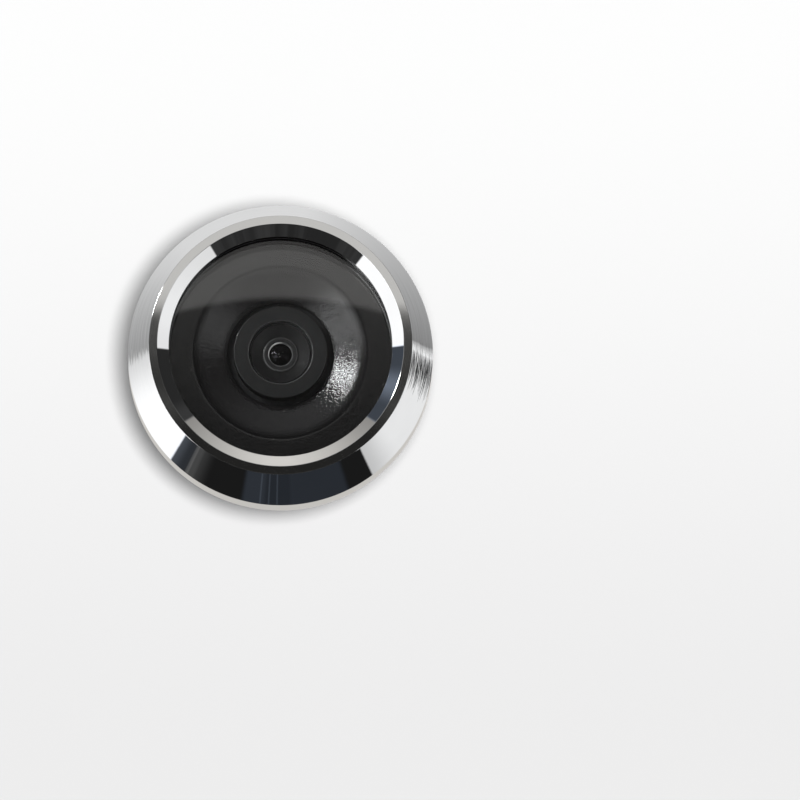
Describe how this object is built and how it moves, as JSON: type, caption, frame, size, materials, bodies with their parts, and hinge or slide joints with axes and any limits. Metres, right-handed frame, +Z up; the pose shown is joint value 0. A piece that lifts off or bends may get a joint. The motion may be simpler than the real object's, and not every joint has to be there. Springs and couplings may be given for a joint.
{
  "type": "peephole door camera",
  "caption": "Round bevelled chrome camera head with a recessed lens behind a flat window, on a threaded tube that passes through a door and is clamped by a washer and nut.",
  "frame": {"origin": "on the tube's axis, in the door's outer face, where the foam gasket meets the door", "axes": "+Y along the tube into the door, -Y towards the visitor, +Z up"},
  "size_m": [0.036, 0.0695, 0.036],
  "materials": {
    "chrome_bezel": "polished chrome plate with fine turning marks round the axis",
    "black_adhesive": "thin black foam adhesive",
    "window_glass": "clear polished flat window",
    "grained_black": "black moulding with a fine sparkling grain",
    "satin_black": "satin black moulding",
    "lens_black": "black anodised",
    "coated_glass": "polished glass with a purple coating",
    "lens_glass": "polished optical glass",
    "holder_plastic": "black moulding",
    "plain_steel": "plain steel",
    "filter_glass": "blue-green filter glass",
    "sensor_ceramic": "dark package under clear glass",
    "circuit_board": "green solder mask",
    "chip_ceramic": "tan ceramic with tinned ends",
    "socket_plastic": "cream moulding",
    "latch_plastic": "dark brown moulding",
    "dark_alloy": "dark grey coated alloy",
    "black_rubber": "flat black sheet rubber",
    "black_foam": "closed-cell foam sheet",
    "plated_brass": "dull nickel plate over turned brass",
    "bush_plastic": "black moulding",
    "plated_steel": "zinc-plated pressed steel"
  },
  "bodies": {
    "head": {"bezel": "chrome_bezel", "window_seal": "black_adhesive", "front_window": "window_glass", "shroud": "grained_black", "lens_hood": "satin_black", "lens_retainer": "lens_black", "front_lens": "coated_glass", "front_spacer": "lens_black", "aperture_stop": "lens_black", "middle_lens": "lens_glass", "rear_spacer": "lens_black", "rear_lens": "lens_glass", "lens_barrel": "lens_black", "lens_lock_ring": "lens_black", "lens_holder": "holder_plastic", "locating_pin": "plain_steel", "ir_filter": "filter_glass", "image_sensor": "sensor_ceramic", "sensor_board": "circuit_board", "board_components": "chip_ceramic", "board_screws": "plain_steel", "ribbon_socket": "socket_plastic", "rear_cover": "dark_alloy", "cover_gasket": "black_rubber", "cover_screws": "plain_steel", "door_gasket": "black_foam", "threaded_tube": "plated_brass", "tube_bush": "bush_plastic"},
    "washer_set": {"inner_pad": "black_rubber", "clamp_washer": "plated_steel"},
    "nut": {"clamp_nut": "plated_brass"},
    "latch": {"socket_latch": "latch_plastic"}
  },
  "joints": [
    {"name": "nut_travel", "type": "slide", "parent": "head", "child": "washer_set", "axis": [0, 1, 0], "range_m": [-0.01, 0.01]},
    {"name": "nut_turn", "type": "hinge", "parent": "washer_set", "child": "nut", "pos_m": [0, 0.044, 0], "axis": [0, 1, 0], "range_deg": [-3600, 3600]},
    {"name": "latch_slide", "type": "slide", "parent": "head", "child": "latch", "axis": [0, 1, 0], "range_m": [0, 0.0006]}
  ],
  "couplings": [
    {"joint": "nut_travel", "follows": "nut_turn", "m_per_rad": 0.00015915}
  ]
}
